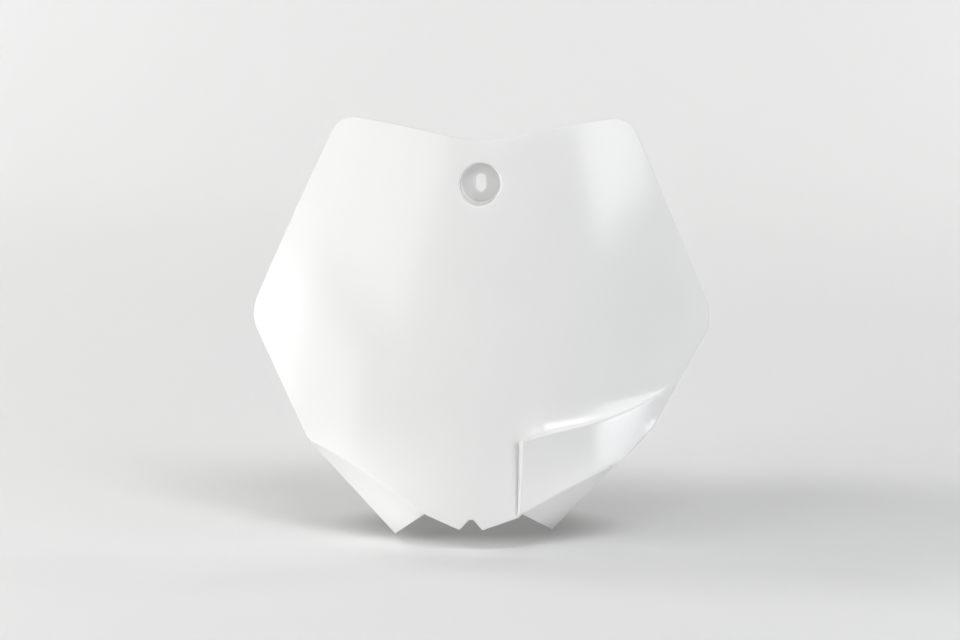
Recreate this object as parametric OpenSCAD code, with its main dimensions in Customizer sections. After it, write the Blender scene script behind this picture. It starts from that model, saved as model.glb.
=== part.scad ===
// Racing number board: one thin plastic moulding for the front of an off-road motorbike.
// The face is a barrel, curved across and a little from top to bottom, cut to a six-sided outline
// with a hollow top edge and a toothed bottom edge. Two wings fold back from the lower edges.
// A hose bulge stands out of the lower right of the face, and the one fixing screw sits in a pocket.
// The wall has one thickness: every outer surface has its twin, one wall further in.
// Frame: +Z up, the face looks along -Y and leans back. The origin is the centre of the screw seat.

/* [Face] */
// Wall thickness of the moulding
wall = 2.2; // [1.6:0.1:3]
// How far the face leans back from upright, in degrees
lean = 22.5; // [16:0.5:28]
// Radius of the face across its width
across_r = 250; // [220:5:320]
// Radius of the face from top to bottom
upright_r = 900; // [600:50:2000]

/* [Outline] */
// Half the distance between the two side corners, before rounding
side_corner_x = 125.6; // [118:0.2:130]
// Height of the side corners over the middle of the face
side_corner_z = 9.6; // [0:0.2:20]
// Rounding of the side corners
side_corner_r = 20; // [8:1:26]
// Half the distance between the two top corners, before rounding
top_corner_x = 79; // [70:0.5:86]
// Height of the top corners over the middle of the face
top_corner_z = 119.3; // [112:0.1:124]
// Rounding of the top corners
top_corner_r = 12; // [5:1:16]
// Height of the hollow in the top edge over the middle of the face
top_dip_z = 98; // [92:0.5:108]
// Rounding of the hollow in the top edge
top_dip_r = 68; // [30:2:90]
// Half the distance between the two lower corners
lower_corner_x = 88.5; // [82:0.5:94]
// Height of the left lower corner, under the middle of the face
left_corner_z = -62.2; // [-66:0.1:-56]
// Height of the right lower corner, under the hose bulge
right_corner_z = -63.2; // [-66:0.1:-56]
// Rounding of the left lower corner
left_corner_r = 16; // [4:1:22]
// Rounding of the right lower corner, under the hose bulge
right_corner_r = 66; // [20:2:76]

/* [Bottom teeth] */
// Half the width of the notch between the two teeth
notch_x = 1.2; // [0.6:0.1:3]
// Height of the top of the notch
notch_z = -105.1; // [-108:0.1:-100]
// Half the distance between the tips of the teeth
tooth_x = 6; // [4:0.5:10]
// Height of the tips of the teeth
tooth_z = -110.4; // [-113:0.1:-108]
// Rounding of the teeth and of the notch
tooth_r = 0.9; // [0.2:0.1:1.2]

/* [Wings] */
// Half the distance between the lower ends of the two fold lines
fold_x = 24.4; // [22:0.2:28]
// Height of the lower end of the left fold line
left_fold_z = -102.6; // [-105:0.1:-100]
// Height of the lower end of the right fold line
right_fold_z = -103.6; // [-105:0.1:-100]
// Slope of the left fold line, in degrees
left_slope = 36.8; // [34:0.2:38]
// Angle that the left wing folds back from the face
left_fold = 64; // [55:0.5:80]
// Length of the left fold line
left_length = 75; // [70:0.5:77]
// Depth of the left wing along its bottom edge
left_depth = 36; // [25:1:45]
// How far the bottom edge of the left wing runs outward to its tip
left_run = 11; // [6:0.5:20]
// Slope of the right fold line, in degrees
right_slope = 32.2; // [28:0.1:34]
// Angle that the right wing folds back from the face
right_fold = 82; // [74:0.5:86]
// Length of the right fold line
right_length = 58; // [50:0.5:66]
// Depth of the right wing along its bottom edge
right_depth = 52; // [35:1:60]
// How far the bottom edge of the right wing runs outward to its tip
right_run = 14; // [6:0.5:20]
// Depth of each wing where its outer edge meets the side of the face
wing_end = 1.5; // [0.5:0.1:4]

/* [Hose bulge] */
// Left side of the bulge, from the middle of the face
bulge_x = 24; // [18:0.5:34]
// Height where the bulge starts to rise out of the face
bulge_top_z = -8; // [-16:0.5:-4]
// Hollow radius of the slope that rises to the lip
slope_r = 446; // [380:2:520]
// Radius of the panel under the lip
panel_r = 198; // [180:1:220]
// Middle of the panel, from the middle of the face
panel_x = -4; // [-10:0.5:2]
// How far the panel stands before the middle of the face, at the left end of the lip
panel_out = 3.9; // [3.2:0.1:4.6]
// Height of the left end of the lip
lip_z = -64.6; // [-70:0.2:-56]
// Slope of the left part of the lip, in degrees
lip_slope = 15; // [8:0.5:20]
// Angle between the panel and the upright direction, in degrees
panel_tilt = 9.8; // [8:0.1:11]
// Where the flank left of the slope grows out of the face, at half its height
flank_x = 26; // [25:0.5:30]
// Angle of the flank, in degrees
flank_angle = 4.6; // [3:0.2:8]
// Draft of the small wall left of the panel, in degrees
step_draft = 22; // [8:1:32]

/* [Screw pocket] */
// Height of the pocket over the middle of the face, along the face
pocket_z = 74.7; // [66:0.1:80]
// Depth of the screw seat behind the face
pocket_depth = 9; // [8:0.1:12]
// Radius of the pocket
pocket_r = 10.8; // [9:0.1:12]
// Rounding of the pocket's rim
rim_r = 1.8; // [0.8:0.1:2.4]
// Width of the slot for the screw
slot_w = 5.6; // [4.4:0.1:7]
// Length of the slot, from end to end
slot_l = 9.7; // [8:0.1:13]

/* [Hidden] */
$fn = 120;
// Half the size of the blocks that cut or keep a whole side
big = 300;
// How deep the slope starts inside the face, so that it grows out of it
slope_sink = 0.2;
// Points on each rounded corner
corner_steps = 10;
// The face lies this far behind its foremost point, at a height on the middle line
function set_back(z) = upright_r - sqrt(upright_r * upright_r - z * z);
// The face looks up by this angle there, over the lean
function face_pitch(z) = asin(z / upright_r);
// How far any point of the face lies behind its foremost point
function face_back(x, z) = let (r = across_r - set_back(z)) across_r - sqrt(r * r - x * x);
pocket_back = set_back(pocket_z);
seat_y = pocket_back * cos(lean) + pocket_z * sin(lean) + pocket_depth;
seat_z = pocket_z * cos(lean) - pocket_back * sin(lean);
// Each wing as [slope, fold, length, depth, run, height of the fold's lower end]
left_wing = [left_slope, left_fold, left_length, left_depth, left_run, left_fold_z];
right_wing = [right_slope, right_fold, right_length, right_depth, right_run, right_fold_z];
function unit(v) = v / norm(v);

// An arc of radius r that rounds the corner b between a and c
function round_corner(a, b, c, r) =
    let (
        u = unit(a - b),
        v = unit(c - b),
        half = acos(u * v) / 2,
        centre = b + unit(u + v) * r / sin(half),
        start = b + u * r / tan(half) - centre,
        turn = (180 - 2 * half) * sign(cross(start, v))
    )
    [for (i = [0 : corner_steps])
        let (w = turn * i / corner_steps)
        centre + [start.x * cos(w) - start.y * sin(w), start.x * sin(w) + start.y * cos(w)]];

// Every corner of a closed outline rounded by its own radius, the third number of each corner
function rounded(outline) =
    let (n = len(outline))
    [for (i = [0 : n - 1])
        let (
            before = outline[(i + n - 1) % n],
            here = outline[i],
            after = outline[(i + 1) % n],
            b = [here.x, here.y]
        )
        each here.z > 0
            ? round_corner([before.x, before.y], b, [after.x, after.y], here.z)
            : [b]];

// One half of the front outline, from a top corner down to the notch, round its own lower corner
function half_outline(side, lower_z, lower_r, fold_z) = [
    [side * top_corner_x, top_corner_z, top_corner_r],
    [side * side_corner_x, side_corner_z, side_corner_r],
    [side * lower_corner_x, lower_z, lower_r],
    [side * fold_x, fold_z, 0],
    [side * tooth_x, tooth_z, tooth_r],
    [side * notch_x, notch_z, tooth_r]
];
function backwards(list) = [for (i = [len(list) - 1 : -1 : 0]) list[i]];
outline = concat(
    [[0, top_dip_z, top_dip_r]],
    half_outline(1, right_corner_z, right_corner_r, right_fold_z),
    backwards(half_outline(-1, left_corner_z, left_corner_r, left_fold_z))
);

// The barrel that the face is a piece of, with its skin moved in by d
module barrel(d) {
    translate([0, across_r, 0])
        rotate_extrude()
            intersection() {
                translate([across_r - upright_r, 0]) circle(upright_r - d);
                translate([0, -big / 2]) square([across_r + 1, big]);
            }
}

// Everything behind the hollow slope above the lip, right of its flank
module slope_block(d) {
    difference() {
        translate([bulge_x, -big / 10, lip_z - big / 10]) cube([big / 2, big / 5, bulge_top_z - lip_z + big / 10]);
        translate([0, across_r, 0])
            rotate_extrude()
                translate([across_r - slope_sink + slope_r, bulge_top_z]) circle(slope_r + d);
        translate([flank_x, face_back(flank_x, lip_z / 2), lip_z / 2])
            rotate([-face_pitch(lip_z / 2), 0, -flank_angle])
                translate([-big, -2 * big + d, -big]) cube(2 * big);
    }
}

// Everything below the lip, right of the small wall beside the panel
module step_block(d) {
    intersection() {
        translate([bulge_x, face_back(bulge_x, lip_z), 0])
            rotate([0, 0, step_draft])
                translate([d, -big / 10, -big / 2]) cube([big / 2, big / 5, big]);
        translate([bulge_x, 0, lip_z])
            rotate([0, -lip_slope, 0])
                translate([-big / 2, -big / 2, -big - d]) cube(big);
    }
}

// The bulge for the brake hose: the panel's cylinder, cut by the slope, the flank and the small wall
module bulge(d) {
    intersection() {
        translate([panel_x, 0, lip_z])
            rotate([panel_tilt, 0, 0])
                translate([0, panel_r - panel_out, -big / 2]) cylinder(h = big, r = panel_r - d);
        union() {
            slope_block(d);
            step_block(d);
        }
    }
}

// Places a wing's own plane: x up along the fold, y back along the wing, z into the board
module at_fold(wing) {
    slope = wing[0];
    fold = wing[1];
    fold_z = wing[5];
    translate([fold_x, face_back(fold_x, fold_z), fold_z])
        rotate([0, -slope, 0])
            rotate([fold - 90, 0, 0])
                children();
}

// Everything on the inner side of a wing's outer skin, moved in by d
module wing_side(wing, d) {
    at_fold(wing) translate([-big, -big, d]) cube(2 * big);
}

// The whole outer form of the board with its skin moved in by d, solid behind
module form(d) {
    intersection() {
        union() {
            barrel(d);
            bulge(d);
        }
        wing_side(right_wing, d);
        mirror([1, 0, 0]) wing_side(left_wing, d);
    }
}

// What is kept of a wing: from its fold to its outer edge and its bottom edge
module wing_cut(wing) {
    slope = wing[0];
    fold = wing[1];
    length = wing[2];
    depth = wing[3];
    run = wing[4];
    fold_z = wing[5];
    end_back = face_back(fold_x + length * cos(slope), fold_z + length * sin(slope));
    end_depth = (end_back - face_back(fold_x, fold_z)) / sin(fold);
    at_fold(wing)
        translate([0, 0, -wall / 2])
            linear_extrude(2 * wall)
                polygon([
                    [0, 0],
                    [run, depth],
                    [length, end_depth + wing_end],
                    [length, 0],
                    [length / 2, -wall],
                    [0, -wall]
                ]);
}

// What is kept of the face: the front outline, cut straight through
module face_cut() {
    translate([0, big / 5, 0])
        rotate([90, 0, 0])
            linear_extrude(big / 4)
                polygon(rounded(outline));
}

// The wall of the face, the bulge and the wings, in the face's own upright frame
module shell() {
    intersection() {
        difference() {
            form(0);
            form(wall);
        }
        union() {
            face_cut();
            wing_cut(right_wing);
            mirror([1, 0, 0]) wing_cut(left_wing);
        }
    }
}

// Moves from the face's own frame to the board as it is mounted
module mounted() {
    translate([0, -seat_y, -seat_z])
        rotate([-lean, 0, 0])
            children();
}

// A round bar along the screw's axis, from y = back towards the front
module screw_bar(r, back, length) {
    translate([0, back, 0]) rotate([90, 0, 0]) cylinder(h = length, r = r);
}

// The rounded mouth of the pocket, square to the face
module pocket_mouth() {
    mounted()
        translate([0, pocket_back, pocket_z])
            rotate([90 - face_pitch(pocket_z), 0, 0])
                translate([0, 0, -rim_r])
                    rotate_extrude()
                        difference() {
                            square([pocket_r + rim_r, 2 * rim_r]);
                            translate([pocket_r + rim_r, 0]) circle(rim_r);
                        }
}

// The upright slot for the screw, through the floor of the pocket
module screw_slot() {
    run = (slot_l - slot_w) / 2;
    for (z = [-run, run])
        translate([0, 0, z]) screw_bar(slot_w / 2, wall + 1, wall + 2);
    translate([-slot_w / 2, -1, -run]) cube([slot_w, wall + 2, 2 * run]);
}

module number_board() {
    color([0.95, 0.95, 0.94])
        difference() {
            union() {
                mounted() shell();
                intersection() {
                    screw_bar(pocket_r + wall, wall, 3 * pocket_depth);
                    mounted() form(0);
                }
            }
            screw_bar(pocket_r, 0, 4 * pocket_depth);
            pocket_mouth();
            screw_slot();
        }
}

number_board();
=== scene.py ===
import math

import bmesh
import bpy
from mathutils import Matrix, Vector


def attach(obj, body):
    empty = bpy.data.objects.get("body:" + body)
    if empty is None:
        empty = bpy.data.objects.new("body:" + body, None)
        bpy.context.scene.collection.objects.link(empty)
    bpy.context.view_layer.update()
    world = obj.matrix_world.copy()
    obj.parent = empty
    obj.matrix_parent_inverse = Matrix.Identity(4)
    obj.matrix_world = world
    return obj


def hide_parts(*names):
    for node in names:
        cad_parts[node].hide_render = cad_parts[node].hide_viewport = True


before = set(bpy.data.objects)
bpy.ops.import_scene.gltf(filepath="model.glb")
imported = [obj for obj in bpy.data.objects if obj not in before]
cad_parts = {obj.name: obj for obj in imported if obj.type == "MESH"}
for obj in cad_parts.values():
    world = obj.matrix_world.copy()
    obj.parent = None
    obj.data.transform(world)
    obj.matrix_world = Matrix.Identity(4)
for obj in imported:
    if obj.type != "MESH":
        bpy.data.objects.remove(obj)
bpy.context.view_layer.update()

# %% [markdown]
# # A racing number board for an off-road motorbike
# The board is one thin plastic moulding. The imported CAD model gives its place and its size, and this
# lesson makes the same board again with finer skins, softer edges and a real plastic finish.

# %% [markdown]
# ## The sizes
# All sizes are in millimetres and are those of the CAD model. They are given in the face's own
# upright frame: x to the right, y backwards and z up along the face. The last step leans the board
# back and moves the origin to the screw seat, as it is mounted.

# %% Sizes of the face, its outline and its wings
WALL = 2.2
LEAN = math.radians(22.5)
ACROSS_R = 250.0
UPRIGHT_R = 900.0
TOP_CORNER = (79.0, 119.3, 12.0)
SIDE_CORNER = (125.6, 9.6, 20.0)
TOP_DIP = (0.0, 98.0, 68.0)
LEFT_CORNER = (-88.5, -62.2, 16.0)
RIGHT_CORNER = (88.5, -63.2, 66.0)
FOLD_X = 24.4
LEFT_FOLD_Z = -102.6
RIGHT_FOLD_Z = -103.6
TOOTH = (6.0, -110.4, 0.9)
NOTCH = (1.2, -105.1, 0.9)
# Each wing: slope of its fold, fold angle, length of the fold, depth and outward run of its bottom edge
LEFT_WING = (math.radians(36.8), math.radians(64.0), 75.0, 36.0, 11.0)
RIGHT_WING = (math.radians(32.2), math.radians(82.0), 58.0, 52.0, 14.0)
WING_END = 1.5

# %% Sizes of the hose bulge and the screw pocket
BULGE_X = 24.0
BULGE_TOP = -8.0
SLOPE_R = 446.0
SLOPE_SINK = 0.2
PANEL_R = 198.0
PANEL_X = -4.0
PANEL_OUT = 3.9
PANEL_TILT = math.radians(9.8)
LIP_Z = -64.6
LIP_SLOPE = math.radians(15.0)
STEP_DRAFT = math.radians(22.0)
# How steeply the slope meets the lip. It rises later than a plain arc, so it flares close to the lip
FLARE = 0.29
MOST_FLARE = 6.5
# The left flank of the bulge: where it starts, its width at the top and how fast it widens downwards
FLANK_GAP = 0.6
FLANK_TOP_W = 7.6
FLANK_GROWTH = 0.115
# How much of the flank is a plain ramp. The rest is a soft step
FLANK_PLAIN = 0.6
# The fine groove at the foot of the small wall: width and depth
GROOVE_W = 1.0
GROOVE_DEPTH = 1.3
POCKET_Z = 74.7
POCKET_DEPTH = 9.0
POCKET_R = 10.8
RIM_R = 1.8
SLOT_W = 5.6
SLOT_L = 9.7

# %% [markdown]
# ## The skins as heights
# Seen from the front, every point of the face has one depth, so its skin is a height map. The face
# is a piece of a barrel. The bulge is a hollow slope above the lip and a rounder panel under it.

# %% The depth of the barrel, the slope and the panel


def set_back(z):
    return UPRIGHT_R - math.sqrt(UPRIGHT_R ** 2 - z * z)


def barrel(x, z):
    return ACROSS_R - math.sqrt((ACROSS_R - set_back(z)) ** 2 - x * x)


def slope_rise(z):
    down = min(max(BULGE_TOP - z, 0.0), 0.5 * SLOPE_R)
    return SLOPE_R - math.sqrt(SLOPE_R ** 2 - down ** 2)


def slope(x, z):
    reach = ACROSS_R - SLOPE_SINK + slope_rise(z)
    return ACROSS_R - math.sqrt(reach ** 2 - x * x)


def panel(x, z):
    round_back = PANEL_R - PANEL_OUT - math.sqrt(PANEL_R ** 2 - (x - PANEL_X) ** 2)
    return round_back / math.cos(PANEL_TILT) - math.tan(PANEL_TILT) * (z - LIP_Z)


# %% [markdown]
# ## The whole front skin
# Above the lip, the left flank of the bulge is a soft ramp, narrow at the top and wider near the
# lip. Below the lip the panel starts at once, over a small drafted wall.

# %% The depth of the finished skin


def soft_step(t):
    t = min(max(t, 0.0), 1.0)
    return t * t * (3 - 2 * t)


def flank_width(z):
    return FLANK_TOP_W + FLANK_GROWTH * max(BULGE_TOP - z, 0.0)


def lip_line(x):
    return LIP_Z + math.tan(LIP_SLOPE) * (x - BULGE_X)


def skin_above(x, z):
    face = barrel(x, z)
    if x <= BULGE_X or z >= BULGE_TOP:
        return face
    rise = max(face - max(slope(x, z), panel(x, z)), 0.0)
    lip_z = lip_at(x)
    if z > lip_z:
        length = BULGE_TOP - lip_z
        power = min(FLARE * length / max(slope_rise(lip_z), 0.1), MOST_FLARE)
        rise *= ((BULGE_TOP - z) / length) ** (power - 2)
    across = (x - BULGE_X - FLANK_GAP) / flank_width(z)
    ramp = FLANK_PLAIN * min(max(across, 0.0), 1.0) + (1 - FLANK_PLAIN) * soft_step(across)
    return face - rise * ramp


def skin_below(x, z):
    if x <= BULGE_X:
        return barrel(x, z)
    return min(barrel(x, z), panel(x, z))


def bulge_rise(x, z):
    return max(barrel(x, z) - panel(x, z), 0.0)


# %% [markdown]
# ## The lip
# The lip is where the slope meets the panel. Its left part is straight. Further right it is the
# crossing of two curved skins, so its height is found by halving an interval.

# %% The height of the lip


def crossing(func, low, high):
    for _ in range(40):
        mid = (low + high) / 2
        if func(mid) > 0:
            low = mid
        else:
            high = mid
    return (low + high) / 2


def lip_height(x):
    return crossing(lambda z: panel(x, z) - slope(x, z), LIP_Z - 20, BULGE_TOP)


LIP_START_X = BULGE_X + flank_width(LIP_Z)
print("lip:", [(x, round(lip_height(x), 1)) for x in (26, 49, 66, 77, 88, 99, 106)])

# %% [markdown]
# ## The outline
# The flat outline starts as thirteen corner points, joined into one face. Blender's bevel, used on the
# corners alone, rounds each of them to its own radius. It slides along both edges by the length of
# the tangent, which follows from the radius and from the angle of the corner.

# %% The flat outline with its rounded corners
CORNERS = [
    TOP_DIP,
    (-TOP_CORNER[0],) + TOP_CORNER[1:],
    (-SIDE_CORNER[0],) + SIDE_CORNER[1:],
    LEFT_CORNER,
    (-FOLD_X, LEFT_FOLD_Z, 0.0),
    (-TOOTH[0],) + TOOTH[1:],
    (-NOTCH[0],) + NOTCH[1:],
    NOTCH,
    TOOTH,
    (FOLD_X, RIGHT_FOLD_Z, 0.0),
    RIGHT_CORNER,
    SIDE_CORNER,
    TOP_CORNER,
]


def round_corners(bm, verts):
    """Gives each corner its radius, and leaves those with none sharp."""
    for vert, (x, z, r) in zip(verts, CORNERS):
        if r == 0.0:
            continue
        u, v = [(e.other_vert(vert).co - vert.co) for e in vert.link_edges]
        tangent = r / math.tan(u.angle(v) / 2)
        steps = 4 if r < 2 else 14
        bmesh.ops.bevel(bm, geom=[vert], offset=tangent, offset_type="OFFSET", segments=steps,
                        profile=0.5, affect="VERTICES", material=-1)


def flat_outline():
    bm = bmesh.new()
    verts = [bm.verts.new((x, 0.0, z)) for x, z, r in CORNERS]
    bm.faces.new(verts)
    round_corners(bm, verts)
    bm.normal_update()
    return bm


board = flat_outline()
print("outline:", len(board.verts), "points, normal", tuple(round(n, 2) for n in board.faces[:][0].normal))

# %% [markdown]
# ## The fold lines
# Each wing is flat, and it meets the curved face in a fold. The plane of a wing is set by the slope
# of its fold and the angle that it folds back. Where that plane cuts the skin is the lower edge of
# the face, so the points of the lower edge are moved up or down onto it.

# %% The planes of the wings
class Wing:
    """A flat wing: its fold runs along, its depth runs back, and inward points into the board."""
    def __init__(self, side, low_z, slope_angle, fold, length, depth, run):
        self.side = side
        self.length, self.depth, self.run = length, depth, run
        s, c = math.sin(slope_angle), math.cos(slope_angle)
        self.origin = Vector((side * FOLD_X, barrel(FOLD_X, low_z), low_z))
        self.along = Vector((side * c, 0.0, s))
        self.back = Vector((side * math.cos(fold) * s, math.sin(fold), -math.cos(fold) * c))
        self.inward = Vector((-side * math.sin(fold) * s, math.cos(fold), math.sin(fold) * c))
        self.end_x = crossing(lambda x: length - self.reach(self.on_fold(side * x)), FOLD_X, 100.0)
        self.end = self.on_fold(side * self.end_x)
        self.end_depth = (self.end - self.origin).dot(self.back)

    def on_fold(self, x):
        z = crossing(lambda z: -self.inside(Vector((x, skin_below(x, z), z))), -125.0, -40.0)
        return Vector((x, skin_below(x, z), z))

    def inside(self, p):
        return (p - self.origin).dot(self.inward)

    def reach(self, p):
        return (p - self.origin).dot(self.along)

    def at(self, a, b):
        return self.origin + self.along * a + self.back * b


left_wing = Wing(-1, LEFT_FOLD_Z, *LEFT_WING)
right_wing = Wing(1, RIGHT_FOLD_Z, *RIGHT_WING)
for wing in (left_wing, right_wing):
    print("fold ends at", [round(v, 1) for v in wing.end])

# %% The lower edge moved onto the fold lines
FADE = 14.0
FOLD_STEP = 2.4
OUTLINE_STEP = 2.8


def split_long_edges(bm, edges, longest):
    for edge in edges:
        cuts = int(edge.calc_length() / longest)
        if cuts > 0:
            bmesh.ops.subdivide_edges(bm, edges=[edge], cuts=cuts)


def onto_fold(bm, wing):
    """Moves the lower edge onto a wing's fold, and fades the move out beyond the fold's end."""
    near = [e for e in bm.edges if all(v.co.x * wing.side > FOLD_X - 0.01 and v.co.z < 0 for v in e.verts)]
    split_long_edges(bm, near, FOLD_STEP)
    verts = [v for v in bm.verts if v.co.x * wing.side > FOLD_X + 0.01 and v.co.z < 0]
    beyond = sorted((v for v in verts if v.co.x * wing.side > wing.end_x), key=lambda v: v.co.x * wing.side)
    gap = wing.end.z - beyond[0].co.z
    for v in verts:
        if v.co.x * wing.side <= wing.end_x:
            v.co.z = wing.on_fold(v.co.x).z
        else:
            v.co.z += gap * (1 - soft_step((v.co.x * wing.side - wing.end_x) / FADE))


for wing in (left_wing, right_wing):
    onto_fold(board, wing)
split_long_edges(board, board.edges[:], OUTLINE_STEP)
print("outline with folds:", len(board.verts), "points")

# %% [markdown]
# ## Rings along the edge
# The cut edge of a moulding is never sharp. Insets give the face a few narrow rings along its
# outline, and later these rings are rolled over to round the edge.

# %% Insets along the outline
EDGE_R = 0.65
RINGS = [0.06, 0.2, 0.4, EDGE_R, 0.88]
bmesh.ops.remove_doubles(board, verts=board.verts[:], dist=0.08)
last = 0.0
for ring in RINGS:
    inner = max(board.faces, key=lambda f: f.calc_area())
    bmesh.ops.inset_region(board, faces=[inner], thickness=ring - last, use_even_offset=True,
                           use_boundary=True)
    last = ring
print("after the insets:", len(board.faces), "faces")

# %% [markdown]
# ## A grid to carry the curves
# The flat middle is cut along many upright and level planes. Extra cuts follow the lip of the bulge
# and the small wall beside the panel, so that each crease is a line of real edges.

# %% Cuts along planes
inner = max(board.faces, key=lambda f: f.calc_area())
inside_faces = {inner}


def cut(point, normal, wanted=lambda c: True):
    """Cuts the faces inside the rings whose middle is wanted, along a plane."""
    global inside_faces
    faces = [f for f in inside_faces if wanted(f.calc_center_median())]
    edges = {e for f in faces for e in f.edges}
    verts = {v for f in faces for v in f.verts}
    rings = set(board.faces) - inside_faces
    bmesh.ops.bisect_plane(board, geom=faces + list(edges) + list(verts), dist=1e-5,
                           plane_co=point, plane_no=normal)
    inside_faces = set(board.faces) - rings


def wall_x(z):
    """Where the small wall beside the panel ends, on top of the panel."""
    return BULGE_X + math.tan(STEP_DRAFT) * bulge_rise(BULGE_X + 1.5, z)


GRID = 2.8
FIRST_COLUMN = 27.6
# Half the width of the square of the grid in which the pocket's mouth is made, and its steps
POCKET_HALF = 16.0
POCKET_STEPS = 12
UPRIGHT_CUTS = [BULGE_X, FIRST_COLUMN] + [FIRST_COLUMN + GRID * i for i in range(1, 34)]
UPRIGHT_CUTS += [POCKET_HALF - 2 * POCKET_HALF * i / POCKET_STEPS for i in range(POCKET_STEPS + 1)]
UPRIGHT_CUTS += [19.0, 21.6]
UPRIGHT_CUTS += [-POCKET_HALF - GRID * i for i in range(1, 38)]
for x in UPRIGHT_CUTS:
    cut(Vector((x, 0, 0)), Vector((1, 0, 0)))
print("upright cuts:", len(UPRIGHT_CUTS), "faces:", len(board.faces))

# %% The cut along the wall and the cuts along the lip
LIP_END_X = 106.0
UNDER_LIP = 1.8
LEDGE_START = 0.4
LEDGE_GROWTH = 1.5
WALL_LOW_Z = -103.0


def ledge(x):
    """How far behind the lip the slope starts, on the front view."""
    t = (x - BULGE_X) / (LIP_START_X - BULGE_X)
    return LEDGE_START + LEDGE_GROWTH * min(max(t, 0.0), 1.0)


def lip_at(x):
    return lip_line(x) if x < LIP_START_X else lip_height(x)


def cut_column(x0, x1, heights):
    for h0, h1 in heights:
        run = Vector((x1 - x0, 0, h1 - h0))
        cut(Vector((x0, 0, h0)), run.cross(Vector((0, 1, 0))), lambda c: x0 < c.x < x1)


columns = sorted(x for x in UPRIGHT_CUTS if BULGE_X <= x <= LIP_END_X)
for x0, x1 in zip(columns, columns[1:]):
    cut_column(x0, x1, [(lip_at(x0), lip_at(x1)), (lip_at(x0) + ledge(x0), lip_at(x1) + ledge(x1)),
                        (lip_at(x0) - UNDER_LIP, lip_at(x1) - UNDER_LIP)])
low, high = Vector((wall_x(WALL_LOW_Z), 0, WALL_LOW_Z)), Vector((wall_x(LIP_Z), 0, LIP_Z))
cut(low, (high - low).cross(Vector((0, 1, 0))),
    lambda c: BULGE_X < c.x < columns[1] and c.z < lip_at(c.x))
for x in (BULGE_X - GROOVE_W, BULGE_X - 0.5 * GROOVE_W):
    cut(Vector((x, 0, 0)), Vector((1, 0, 0)), lambda c: c.z < LIP_Z + 3.0)
print("wall and lip:", len(board.faces), "faces")

# %% Level cuts
CLEAR_BELOW = 2.6
CLEAR_ABOVE = 0.8
LEVEL_CUTS = [POCKET_Z - POCKET_HALF + 2 * POCKET_HALF * i / POCKET_STEPS for i in range(POCKET_STEPS + 1)]
LEVEL_CUTS += [POCKET_Z + POCKET_HALF + GRID * i for i in range(1, 11)]
LEVEL_CUTS += [POCKET_Z - POCKET_HALF - GRID * i for i in range(1, 60)]


def clear_of_lip(c, z):
    """True unless the level cut would leave slivers beside the lip."""
    if not BULGE_X < c.x < LIP_END_X:
        return True
    return not -CLEAR_BELOW < z - lip_at(c.x) < ledge(c.x) + CLEAR_ABOVE


for z in LEVEL_CUTS:
    cut(Vector((0, 0, z)), Vector((0, 0, 1)), lambda c: clear_of_lip(c, z))
bmesh.ops.remove_doubles(board, verts=board.verts[:], dist=0.02)
print("level cuts:", len(LEVEL_CUTS), "faces:", len(board.faces))

# %% [markdown]
# ## The mouth of the screw pocket
# A square of the grid is taken out round the pocket. Its edge is extruded inwards three times, and
# each time its points are moved closer to a circle. This keeps clean quads round the hole.

# %% A square hole that becomes round


def partner(vert, others):
    """The point at the other end of an edge, out of a set of points."""
    return [e.other_vert(vert) for e in vert.link_edges if e.other_vert(vert) in others][0]


def extrude_loop(bm, edges, place):
    """Extrudes a chain of edges and puts each new point where place(old point) says."""
    out = bmesh.ops.extrude_edge_only(bm, edges=edges)["geom"]
    new_verts = {g for g in out if isinstance(g, bmesh.types.BMVert)}
    new_edges = [g for g in out if isinstance(g, bmesh.types.BMEdge)
                 and all(v in new_verts for v in g.verts)]
    spots = {}
    for v in new_verts:
        old = [e.other_vert(v) for e in v.link_edges if e.other_vert(v) not in new_verts][0]
        spots[v] = place(old)
    for v, spot in spots.items():
        v.co = spot
    return new_edges


def around_pocket(co):
    return math.atan2(co.z - POCKET_Z, co.x)


MOUTH_R = POCKET_R + RIM_R


def in_square(co, half):
    return abs(co.x) < half and abs(co.z - POCKET_Z) < half


hole = [f for f in board.faces if in_square(f.calc_center_median(), POCKET_HALF - 0.1)]
bmesh.ops.delete(board, geom=hole, context="FACES")
loop = [e for e in board.edges if e.is_boundary and all(in_square(v.co, POCKET_HALF + 0.1) for v in e.verts)]
for share in (0.4, 0.45, 1.0):
    def towards_circle(v):
        a = around_pocket(v.co)
        goal = Vector((math.cos(a) * MOUTH_R, 0.0, POCKET_Z + math.sin(a) * MOUTH_R))
        return v.co.lerp(goal, share)
    loop = extrude_loop(board, loop, towards_circle)
mouth = loop
print("mouth of the pocket:", len(mouth), "edges")

# %% [markdown]
# ## The flat mesh gets its depth
# Every point is moved back to the depth of the skin. Points on the lip and on the panel's side of
# the small wall take the panel's depth, and all others the depth of the skin above the lip.

# %% Lifting the points onto the skin


def on_panel(co):
    if co.x < BULGE_X + 0.05 or co.x > LIP_END_X:
        return False
    below = co.z < lip_at(co.x) + 0.02
    return below and co.x > wall_x(co.z) - 0.12


for v in board.verts:
    v.co.y = skin_below(v.co.x, v.co.z) if on_panel(v.co) else skin_above(v.co.x, v.co.z)
board.normal_update()
print("lifted:", len(board.verts), "points, depth", round(min(v.co.y for v in board.verts), 2),
      "to", round(max(v.co.y for v in board.verts), 2))

# %% [markdown]
# ## The groove beside the small wall
# A fine dark line runs down the foot of the small wall. It is made as a shallow groove, so the points
# beside the wall are pushed back. The push fades at both ends, where the groove runs out.

# %% The groove pushed in
GROOVE_END_Z = -102.0
GROOVE_SHARE = 0.45


def limited(t):
    return min(max(t, 0.0), 1.0)


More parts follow.
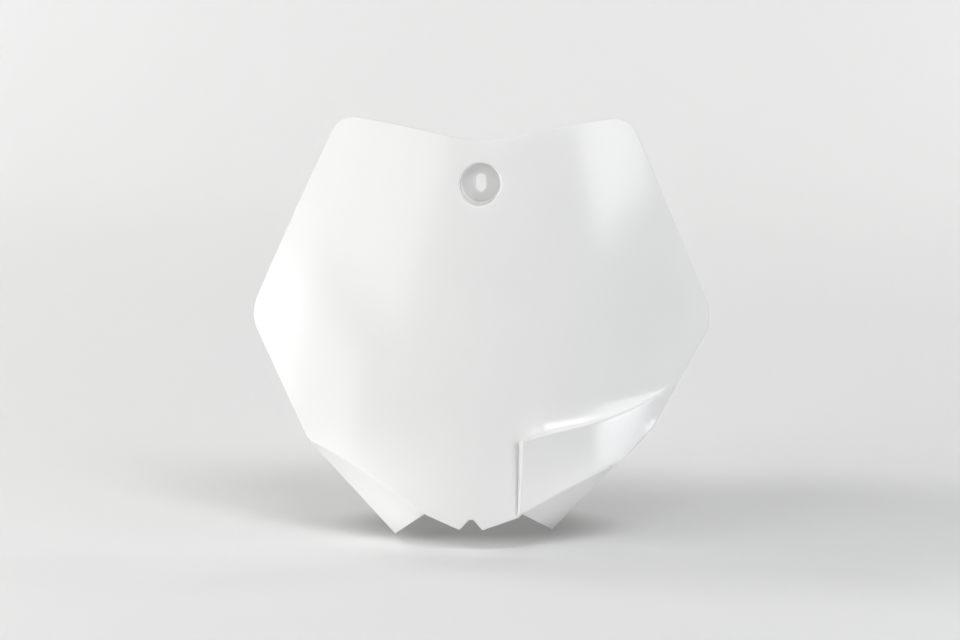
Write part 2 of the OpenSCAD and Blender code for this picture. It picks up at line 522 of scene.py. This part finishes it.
for v in board.verts:
    if BULGE_X - GROOVE_W + 0.1 < v.co.x < BULGE_X + 0.1 and v.co.z < LIP_Z - 0.5:
        fade = limited((v.co.z - GROOVE_END_Z) / 4.0) * limited((LIP_Z - v.co.z) / 2.0)
        v.co.y += GROOVE_DEPTH * fade * (1.0 if v.co.x > BULGE_X - 0.1 else GROOVE_SHARE)
board.normal_update()
print("groove:", GROOVE_W, "mm wide,", GROOVE_DEPTH, "mm deep")

# %% [markdown]
# ## Softer edges on the bulge
# The lip and the top of the small wall catch the light as thin bright lines, because they are
# rounded. Their edges are bevelled with a round profile.

# %% The rounded lip and the rounded top of the wall


def on_lip(e):
    return all(LIP_END_X - 6 > v.co.x > wall_x(v.co.z) - 0.12 and abs(v.co.z - lip_at(v.co.x)) < 0.03
               for v in e.verts)


def on_wall_top(e):
    return all(abs(v.co.x - wall_x(v.co.z)) < 0.12 and v.co.z < lip_at(v.co.x) + 0.03 for v in e.verts)


LIP_R = 0.75
soft = [e for e in board.edges if not e.is_boundary and (on_lip(e) or on_wall_top(e))]
bmesh.ops.bevel(board, geom=soft, offset=LIP_R, offset_type="OFFSET", segments=4, profile=0.5,
                affect="EDGES", clamp_overlap=False, material=-1)
print("rounded edges:", len(soft))

# %% [markdown]
# ## The wings
# The edge of the face along each fold is extruded back in the plane of the wing. Each point moves
# along a ray to its partner on the outer edge of the wing, so the first ray becomes the bottom edge.

# %% The wings folded back
FOLD_T = 0.95
# The largest shares of a short ray that the rings beside the fold and beside the outer edge may take
FOLD_SHARE = 0.1
EDGE_SHARE = 0.13


def wing_ray(wing, co, first_reach):
    """The outer end of the ray through a point of the fold."""
    share = min(max((wing.reach(co) - first_reach) / (wing.length - first_reach), 0.0), 1.0)
    tip = wing.at(wing.run, wing.depth)
    far = wing.at(wing.length, wing.end_depth + WING_END)
    return tip.lerp(far, share)


def fold_edges(wing):
    low = FOLD_X - 0.01 if wing.side < 0 else wall_x(RIGHT_FOLD_Z) + LIP_R - 0.2
    return [e for e in board.edges if e.is_boundary
            and all(low < v.co.x * wing.side < wing.end_x + 1.2 and abs(wing.inside(v.co)) < 0.08
                    and v.co.z < -50 for v in e.verts)]


def build_wing(wing):
    """Extrudes a wing from its fold, ring by ring, and closer together near the edges."""
    edges = fold_edges(wing)
    first = min((v for e in edges for v in e.verts), key=lambda v: v.co.x * wing.side)
    first_edge = [e for e in edges if first in e.verts][0]
    for gap in reversed(RINGS):
        share = gap / first_edge.calc_length()
        if share < 0.95:
            _, new_vert = bmesh.utils.edge_split(first_edge, first, share)
            first_edge = [e for e in first.link_edges if new_vert in e.verts][0]
    edges = fold_edges(wing)
    first_reach = wing.reach(first.co)
    rays = {}
    for v in {v for e in edges for v in e.verts}:
        rays[v] = (v.co.copy(), wing_ray(wing, v.co, first_reach))
    stages = [("from", gap) for gap in (0.2, 0.45, 0.7, FOLD_T)]
    stages += [("share", share) for share in (0.12, 0.3, 0.5, 0.7, 0.86)]
    stages += [("to", ring) for ring in reversed(RINGS)] + [("to", 0.0)]
    carried = dict(rays)
    for kind, value in stages:
        def place(old):
            start, end = carried[old]
            length = (end - start).length
            if kind == "from":
                t = min(value / length, FOLD_SHARE * value / FOLD_T)
            elif kind == "share":
                t = value
            else:
                t = 1 - min(value / length, EDGE_SHARE * value / RINGS[-1])
            return start.lerp(end, t)

        olds = {v for e in edges for v in e.verts}
        edges = extrude_loop(board, edges, place)
        carried = {v: carried[partner(v, olds)] for v in {v for e in edges for v in e.verts}}
    return len(rays)


def face_front():
    """Makes all faces agree, with the middle of the board towards the front."""
    bmesh.ops.recalc_face_normals(board, faces=board.faces[:])
    middle = min(board.faces, key=lambda f: (f.calc_center_median() - Vector((0, 0, 20))).length)
    if middle.normal.y > 0:
        bmesh.ops.reverse_faces(board, faces=board.faces[:])
    return middle.normal


for wing in (left_wing, right_wing):
    print("wing from", build_wing(wing), "points of its fold")
print("faces:", len(board.faces), "middle faces", tuple(round(n, 2) for n in face_front()))

# %% [markdown]
# ## The cup of the pocket
# The cup runs straight back as mounted, so it leans in the face's own frame. Its rounded mouth, its
# wall and its floor are all extruded from the round hole, ring by ring, and the last ring is the slot.

# %% The frame of the mounted board
SEAT_Y = set_back(POCKET_Z) * math.cos(LEAN) + POCKET_Z * math.sin(LEAN) + POCKET_DEPTH
SEAT_Z = POCKET_Z * math.cos(LEAN) - set_back(POCKET_Z) * math.sin(LEAN)
to_mounted = Matrix.Translation((0.0, -SEAT_Y, -SEAT_Z)) @ Matrix.Rotation(-LEAN, 4, "X")
to_face = to_mounted.inverted()
print("seat:", round(SEAT_Y, 2), round(SEAT_Z, 2))

# %% The rings of the cup
CUP_FILLET = 0.7


def mouth_corner(a):
    """Where the cup's wall would meet the skin without rounding, in the mounted frame."""
    def gap(y):
        p = to_face @ Vector((POCKET_R * math.cos(a), y, POCKET_R * math.sin(a)))
        return barrel(p.x, p.z) - p.y
    return Vector((POCKET_R * math.cos(a), crossing(gap, -25.0, 5.0), POCKET_R * math.sin(a)))


def on_slot(a):
    """The point of the slot's edge in direction a."""
    c, s = math.cos(a), math.sin(a)
    half, run = SLOT_W / 2, (SLOT_L - SLOT_W) / 2
    if abs(c) > 1e-6 and abs(s * half / abs(c)) <= run:
        return Vector((half * c / abs(c), 0.0, s * half / abs(c)))
    b = run * abs(s)
    t = b + math.sqrt(b * b - run * run + half * half)
    return Vector((t * c, 0.0, t * s))


def curve(p, q, r, t):
    """A point of the soft curve from p to r that heads for q."""
    return p.lerp(q, t).lerp(q.lerp(r, t), t)


def cup_point(a, stage, t):
    """A point of the cup in direction a, in the mounted frame."""
    c, s = math.cos(a), math.sin(a)
    corner = mouth_corner(a)
    mouth_x, mouth_z = MOUTH_R * c, POCKET_Z + MOUTH_R * s
    start = to_mounted @ Vector((mouth_x, barrel(mouth_x, mouth_z), mouth_z))
    wall_top = corner + Vector((0.0, RIM_R, 0.0))
    wall_foot = Vector((corner.x, -CUP_FILLET, corner.z))
    floor = Vector(((POCKET_R - CUP_FILLET) * c, 0.0, (POCKET_R - CUP_FILLET) * s))
    if stage == "mouth":
        return curve(start, corner, wall_top, t)
    if stage == "wall":
        return wall_top.lerp(wall_foot, t)
    if stage == "fillet":
        return curve(wall_foot, Vector((corner.x, 0.0, corner.z)), floor, t)
    return floor.lerp(on_slot(a), t)


angle_of = {v: around_pocket(v.co) for e in mouth for v in e.verts}
loop = mouth
CUP_RINGS = [("mouth", t) for t in (0.2, 0.4, 0.6, 0.8, 1.0)] + [("wall", t) for t in (0.1, 0.5, 0.9, 1.0)]
CUP_RINGS += [("fillet", t) for t in (0.33, 0.67, 1.0)] + [("floor", t) for t in (0.08, 0.4, 0.8, 0.93, 1.0)]
for stage, t in CUP_RINGS:
    olds = {v for e in loop for v in e.verts}
    loop = extrude_loop(board, loop, lambda old: to_face @ cup_point(angle_of[old], stage, t))
    for v in {v for e in loop for v in e.verts}:
        angle_of[v] = angle_of[partner(v, olds)]
print("cup:", len(CUP_RINGS), "rings")

# %% [markdown]
# ## One wall, 2.2 mm thick
# Solidify copies the skin inwards and closes the sides. Before that, the points near each free edge
# are noted, with the way into the wall. Afterwards they are pulled in along a quarter circle. The
# folds are rounded in the same way, on their outer side only. Offsetting a skin is simple, but in
# tight hollows, such as behind the folds, the inner skin runs into itself a little.

# %% The points near the free edges
from mathutils.kdtree import KDTree

SAMPLE_STEP = 0.06

bmesh.ops.remove_doubles(board, verts=board.verts[:], dist=0.004)
face_front()
board.normal_update()
free = [e for e in board.edges if e.is_boundary]
samples = []
for e in free:
    a, b = [v.co for v in e.verts]
    count = max(int(e.calc_length() / SAMPLE_STEP), 1)
    samples += [a.lerp(b, i / count) for i in range(count)]
tree = KDTree(len(samples))
for i, p in enumerate(samples):
    tree.insert(p, i)
tree.balance()
rolled = []
for v in board.verts:
    distance = 0.0 if v.is_boundary else tree.find(v.co)[2]
    if distance < EDGE_R:
        rolled.append((v, v.normal.copy(), distance))
print("free edges:", len(free), "points near them:", len(rolled))

# %% The points near the folds
FOLD_PLACES = 900


def fold_samples(wing):
    """Places along a fold, each with the way up into the face, square to the fold."""
    places = []
    for i in range(FOLD_PLACES + 1):
        x = FOLD_X + (wing.end_x + 1.0 - FOLD_X) * i / FOLD_PLACES
        here, there = wing.on_fold(x * wing.side), wing.on_fold((x + 0.2) * wing.side)
        run = (there - here).normalized()
        above = Vector((here.x, skin_below(here.x, here.z + 0.3), here.z + 0.3)) - here
        places.append((here, (above - run * above.dot(run)).normalized()))
    return places


def near_fold(wing):
    """The move that rounds the fold, for each point close to it."""
    places = fold_samples(wing)
    finder = KDTree(len(places))
    for i, (here, up) in enumerate(places):
        finder.insert(here, i)
    finder.balance()
    moves = []
    for v in board.verts:
        if v.co.z > -40 or v.co.x * wing.side < FOLD_X - 0.5:
            continue
        here, i, distance = finder.find(v.co)
        if distance >= FOLD_T:
            continue
        up = places[i][1]
        on_wing = abs(wing.inside(v.co)) < 0.02 and (v.co - here).dot(wing.back) > 0.01
        t = 0.5 + 0.5 * distance / FOLD_T * (1 if on_wing else -1)
        target = up * ((1 - t) ** 2 * FOLD_T) + wing.back * (t * t * FOLD_T)
        start = wing.back * distance if on_wing else up * distance
        moves.append((v, target - start))
    return moves


fold_moves = near_fold(left_wing) + near_fold(right_wing)
print("points near the folds:", len(fold_moves))

# %% The wall and its rounded edge
SLOT_EDGE_R = 0.35


def near_slot(co):
    p = to_mounted @ co
    return abs(p.y) < 1.0 and math.hypot(p.x, p.z) < 0.6 * POCKET_R


bmesh.ops.solidify(board, geom=board.faces[:], thickness=WALL)
for v, normal, distance in rolled:
    radius = SLOT_EDGE_R if near_slot(v.co) else EDGE_R
    if distance < radius:
        v.co -= normal * (radius - math.sqrt(radius ** 2 - (radius - distance) ** 2))
for v, move in fold_moves:
    v.co += move
board.normal_update()
print("solid:", len(board.faces), "faces, volume", round(board.calc_volume() / 1000, 1), "cm3")

# %% The board as a Blender object
MM = 0.001
CREASE = math.radians(50)
bmesh.ops.transform(board, matrix=Matrix.Scale(MM, 4) @ to_mounted, verts=board.verts[:])
for f in board.faces:
    f.smooth = True
for e in board.edges:
    e.smooth = len(e.link_faces) != 2 or e.calc_face_angle(0.0) < CREASE
mesh = bpy.data.meshes.new("moulded_board")
board.to_mesh(mesh)
board.free()
moulded_board = bpy.data.objects.new("moulded_board", mesh)
bpy.context.collection.objects.link(moulded_board)
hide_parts("number_board")
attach(moulded_board, "root")
print("triangles:", sum(len(p.vertices) - 2 for p in mesh.polygons))

# %% [markdown]
# ## White moulded plastic
# The real board is dyed right through, so it has one clean white. What makes it look like plastic is
# how it shines: a soft gloss with tiny waves from the mould, slightly rougher in some patches than in
# others. The waves are a node group with named inputs, so that each finish can set its own values.

# %% The fine unevenness of a moulded skin


def moulded_skin():
    group = bpy.data.node_groups.new("moulded_skin", "ShaderNodeTree")
    starting = {"Wave Size": 90.0, "Grain Size": 1400.0, "Base Roughness": 0.3, "Patchiness": 0.1}
    for name, value in starting.items():
        socket = group.interface.new_socket(name, in_out="INPUT", socket_type="NodeSocketFloat")
        socket.default_value = value
    for name in ("Roughness", "Height", "Tint"):
        group.interface.new_socket(name, in_out="OUTPUT", socket_type="NodeSocketFloat")
    nodes, links = group.nodes, group.links
    inputs = nodes.new("NodeGroupInput")
    outputs = nodes.new("NodeGroupOutput")
    place = nodes.new("ShaderNodeTexCoord")
    waves = nodes.new("ShaderNodeTexNoise")
    waves.inputs["Detail"].default_value = 2.0
    grain = nodes.new("ShaderNodeTexNoise")
    grain.inputs["Detail"].default_value = 3.0
    patches = nodes.new("ShaderNodeTexNoise")
    patches.inputs["Scale"].default_value = 22.0
    patches.inputs["Detail"].default_value = 4.0
    for texture in (waves, grain, patches):
        links.new(place.outputs["Object"], texture.inputs["Vector"])
    links.new(inputs.outputs["Wave Size"], waves.inputs["Scale"])
    links.new(inputs.outputs["Grain Size"], grain.inputs["Scale"])
    small = nodes.new("ShaderNodeMath")
    small.operation = "MULTIPLY_ADD"
    small.inputs[1].default_value = 0.12
    links.new(grain.outputs["Fac"], small.inputs[0])
    links.new(waves.outputs["Fac"], small.inputs[2])
    links.new(small.outputs["Value"], outputs.inputs["Height"])
    centred = nodes.new("ShaderNodeMath")
    centred.operation = "SUBTRACT"
    centred.inputs[1].default_value = 0.5
    links.new(patches.outputs["Fac"], centred.inputs[0])
    rough = nodes.new("ShaderNodeMath")
    rough.operation = "MULTIPLY_ADD"
    links.new(centred.outputs["Value"], rough.inputs[0])
    links.new(inputs.outputs["Patchiness"], rough.inputs[1])
    links.new(inputs.outputs["Base Roughness"], rough.inputs[2])
    links.new(rough.outputs["Value"], outputs.inputs["Roughness"])
    links.new(patches.outputs["Fac"], outputs.inputs["Tint"])
    return group


skin_group = moulded_skin()
print("node group:", skin_group.name)

# %% The white plastic itself


def white_plastic():
    material = bpy.data.materials.new("white_plastic")
    material.use_nodes = True
    nodes, links = material.node_tree.nodes, material.node_tree.links
    shader = nodes["Principled BSDF"]
    shader.inputs["IOR"].default_value = 1.49
    skin = nodes.new("ShaderNodeGroup")
    skin.node_tree = skin_group
    skin.inputs["Wave Size"].default_value = 70.0
    skin.inputs["Grain Size"].default_value = 1600.0
    skin.inputs["Base Roughness"].default_value = 0.16
    skin.inputs["Patchiness"].default_value = 0.08
    tint = nodes.new("ShaderNodeMix")
    tint.data_type = "RGBA"
    tint.inputs[6].default_value = (0.80, 0.80, 0.79, 1.0)
    tint.inputs[7].default_value = (0.83, 0.83, 0.82, 1.0)
    bump = nodes.new("ShaderNodeBump")
    bump.inputs["Strength"].default_value = 0.02
    bump.inputs["Distance"].default_value = 0.0006
    links.new(skin.outputs["Tint"], tint.inputs[0])
    links.new(tint.outputs[2], shader.inputs["Base Color"])
    links.new(skin.outputs["Roughness"], shader.inputs["Roughness"])
    links.new(skin.outputs["Height"], bump.inputs["Height"])
    links.new(bump.outputs["Normal"], shader.inputs["Normal"])
    return material


mesh.materials.append(white_plastic())
print("finish:", mesh.materials[0].name)

# %% [markdown]
# ## The floor
# The board stands on the tips of its wings, on pale paper that curves up behind it. The paper is one
# edge, swept along a path with a rounded corner, so no line shows where the floor ends.

# %% Pale seamless paper
FLOOR_Z = min(v.co.z for v in mesh.vertices) - 0.0002
BEND = 0.9
BEND_STEPS = 24


def paper_sweep():
    bm = bmesh.new()
    ends = [bm.verts.new((-3.0, -3.5, 0.0)), bm.verts.new((3.0, -3.5, 0.0))]
    edge = bm.edges.new(ends)

    def push(edge, vec):
        out = bmesh.ops.extrude_edge_only(bm, edges=[edge])["geom"]
        verts = [g for g in out if isinstance(g, bmesh.types.BMVert)]
        bmesh.ops.translate(bm, verts=verts, vec=vec)
        return [g for g in out if isinstance(g, bmesh.types.BMEdge) and all(v in verts for v in g.verts)][0]

    edge = push(edge, Vector((0, 4.7, 0)))
    for i in range(BEND_STEPS):
        a0, a1 = [math.pi / 2 * k / BEND_STEPS for k in (i, i + 1)]
        onward, upward = math.sin(a1) - math.sin(a0), math.cos(a0) - math.cos(a1)
        edge = push(edge, Vector((0, BEND * onward, BEND * upward)))
    push(edge, Vector((0, 0, 2.0)))
    bmesh.ops.recalc_face_normals(bm, faces=bm.faces[:])
    bmesh.ops.translate(bm, verts=bm.verts[:], vec=(0, 0, FLOOR_Z))
    for f in bm.faces:
        f.smooth = True
    paper = bpy.data.meshes.new("paper")
    bm.to_mesh(paper)
    bm.free()
    return paper


floor = bpy.data.objects.new("paper", paper_sweep())
bpy.context.collection.objects.link(floor)
print("floor at", round(FLOOR_Z, 4))

# %% [markdown]
# ## The painted shade on the paper
# The contact shadow under the board and the broad shade to its right are too weak with lights alone,
# because pale paper bounces so much light. Two soft spots of painted shadow darken the paper's colour
# to help them. They belong to the floor and not to the board, and stay put when the lights change.

# %% Two soft spots of painted shadow on the paper
PAPER_WHITE = (0.8, 0.8, 0.797, 1.0)
paper_finish = bpy.data.materials.new("pale_paper_with_painted_shade")
paper_finish.use_nodes = True
paper_shader = paper_finish.node_tree.nodes["Principled BSDF"]
paper_shader.inputs["Roughness"].default_value = 0.65
paper_nodes, paper_links = paper_finish.node_tree.nodes, paper_finish.node_tree.links


def soft_spot(centre, radii):
    """The mask of a painted shade: 1 in the middle of an ellipse on the paper, fading to 0 at its rim."""
    place = paper_nodes.new("ShaderNodeTexCoord")
    fit = paper_nodes.new("ShaderNodeMapping")
    fit.vector_type = "TEXTURE"
    fit.inputs["Location"].default_value = (centre[0], centre[1], FLOOR_Z)
    fit.inputs["Scale"].default_value = (radii[0], radii[1], 1.0)
    ball = paper_nodes.new("ShaderNodeTexGradient")
    ball.gradient_type = "SPHERICAL"
    soft = paper_nodes.new("ShaderNodeMapRange")
    soft.interpolation_type = "SMOOTHSTEP"
    soft.inputs["From Max"].default_value = 0.6
    paper_links.new(place.outputs["Object"], fit.inputs["Vector"])
    paper_links.new(fit.outputs["Vector"], ball.inputs["Vector"])
    paper_links.new(ball.outputs["Fac"], soft.inputs["Value"])
    return soft.outputs["Result"]


def shaded(spot, shade, under=None):
    """White paper, or the colour under it, darkened towards a painted shade colour where the spot is."""
    mix = paper_nodes.new("ShaderNodeMix")
    mix.data_type = "RGBA"
    mix.inputs[6].default_value = PAPER_WHITE
    if under is not None:
        paper_links.new(under, mix.inputs[6])
    mix.inputs[7].default_value = shade
    paper_links.new(spot, mix.inputs[0])
    return mix.outputs[2]


# Painted shade: a broad darker spot to the right of the board, and a painted contact shadow under it.
wide_painted_shade = shaded(soft_spot((0.15, -0.01), (0.30, 0.16)), (0.68, 0.68, 0.68, 1.0))
contact_painted_shadow = shaded(soft_spot((0.0, -0.016), (0.088, 0.05)), (0.36, 0.355, 0.345, 1.0), wide_painted_shade)
paper_links.new(contact_painted_shadow, paper_shader.inputs["Base Color"])
paper_shader.inputs["Specular IOR Level"].default_value = 0.2
floor.data.materials.append(paper_finish)
print("paper:", len(paper_nodes), "nodes")

# %% [markdown]
# ## The light
# Large soft boxes high in front light the face and the slope above the lip. Two more on the left
# make the face fall off from left to right. A small card on the right gives the bright wedge on the
# panel, and a narrow beam on each side reaches the wings. The world is almost black.

# %% Soft studio lights
AIM = Vector((0.0, -MM * SEAT_Y, -MM * SEAT_Z))
WHITE, WARM, COOL = (1.0, 1.0, 1.0), (1.0, 0.997, 0.985), (0.93, 0.96, 1.0)


def place_lamp(name, light, place, aim):
    lamp = bpy.data.objects.new(name, light)
    lamp.location = place
    lamp.rotation_euler = (Vector(aim) - Vector(place)).to_track_quat("-Z", "Y").to_euler()
    bpy.context.collection.objects.link(lamp)


def soft_box(name, place, aim, width, height, power, colour=WHITE):
    light = bpy.data.lights.new(name, "AREA")
    light.shape = "RECTANGLE"
    light.size = width
    light.size_y = height
    light.energy = power
    light.color = colour
    place_lamp(name, light, place, aim)


def around(azimuth, height, distance):
    """A place round the board: degrees to the right of its front, degrees up, metres away."""
    a, h = math.radians(azimuth), math.radians(height)
    return AIM + distance * Vector((math.sin(a) * math.cos(h), -math.cos(a) * math.cos(h), math.sin(h)))


def snoot(name, place, aim, cone, power):
    """A narrow soft beam."""
    light = bpy.data.lights.new(name, "SPOT")
    light.energy = power
    light.spot_size = math.radians(cone)
    light.spot_blend = 1.0
    light.shadow_soft_size = 0.03
    place_lamp(name, light, place, aim)


soft_box("overhead", around(12, 61, 4.0), AIM, 1.73, 0.7, 29.0)
soft_box("overhead_right", around(47, 52, 4.0), AIM, 1.14, 1.7, 28.0)
soft_box("overhead_left", around(-50, 45, 1.6), AIM, 1.05, 0.7, 5.0)
soft_box("key_left", around(-62, 14, 1.6), AIM, 1.2, 0.8, 7.0, WARM)
soft_box("left_side", around(-80, 15, 1.5), AIM, 1.0, 1.0, 7.0, WARM)
soft_box("right_card", around(51, 12, 1.3), AIM, 0.4, 0.3, 3.4, COOL)
soft_box("right_side", around(80, 24, 1.5), AIM, 0.8, 1.0, 2.4, COOL)
soft_box("top", (-0.2, 0.0, 1.6), AIM, 1.4, 1.0, 1.5)
soft_box("backdrop_left", (-1.6, 1.3, 1.5), Vector((-1.3, 2.2, 0.3)), 1.2, 0.6, 19.0)
soft_box("backdrop_right", (1.6, 1.3, 1.5), Vector((1.3, 2.2, 0.3)), 1.2, 0.6, 19.0)
snoot("left_beam", (-0.48, -0.32, -0.12), (-0.043, -0.05, -0.168), 9.0, 4.2)
snoot("right_beam", (0.44, -0.34, -0.14), (0.040, -0.05, -0.172), 5.5, 7.0)

# %% A nearly black world
world = bpy.data.worlds.new("studio")
world.use_nodes = True
background = world.node_tree.nodes["Background"]
background.inputs["Color"].default_value = (1.0, 1.0, 1.0, 1.0)
background.inputs["Strength"].default_value = 0.02
bpy.context.scene.world = world
bpy.context.scene.view_settings.view_transform = "Standard"
print("world:", world.name)

# %% [markdown]
# ## The camera
# A long lens keeps the board's proportions. The camera looks from a little right of the middle and
# ten degrees above the horizon, 1.4 m away.

# %% The photograph's viewing angle
TURN = math.radians(4.05)
RISE = math.radians(10.0)
DISTANCE = 1.4
camera_data = bpy.data.cameras.new("camera")
camera_data.lens = 99.81
camera_data.sensor_width = 36.0
camera_data.shift_x = 0.0045
camera = bpy.data.objects.new("camera", camera_data)
level = math.cos(RISE)
camera.location = AIM + DISTANCE * Vector((math.sin(TURN) * level, -math.cos(TURN) * level, math.sin(RISE)))
camera.rotation_euler = (AIM - camera.location).to_track_quat("-Z", "Y").to_euler()
bpy.context.collection.objects.link(camera)
bpy.context.scene.camera = camera
print("camera at", [round(v, 3) for v in camera.location])
